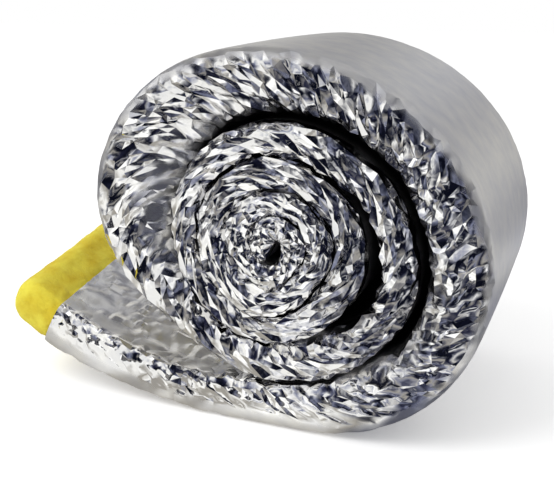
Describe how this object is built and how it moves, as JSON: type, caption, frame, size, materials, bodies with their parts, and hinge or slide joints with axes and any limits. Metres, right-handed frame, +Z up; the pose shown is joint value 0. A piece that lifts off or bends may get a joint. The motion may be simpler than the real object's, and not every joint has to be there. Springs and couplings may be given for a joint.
{
  "type": "insulation roll",
  "caption": "Loose roll of yellow glass wool blanket in a crinkled silver film jacket, lying on its side, its free end trailing along the floor with bare wool at the tip.",
  "frame": {"origin": "on the floor under the centre of the roll's eye, halfway along the roll", "axes": "+X away from the trailing end, +Y along the roll's axis, +Z up"},
  "size_m": [0.5546, 0.305, 0.3832],
  "materials": {
    "metallised_film": "bright crinkled metallised film, satin where it lies smooth",
    "glass_wool": "matte fibrous yellow glass wool"
  },
  "bodies": {
    "root": {"foil_jacket": "metallised_film", "glass_wool_batt": "glass_wool"}
  },
  "joints": []
}
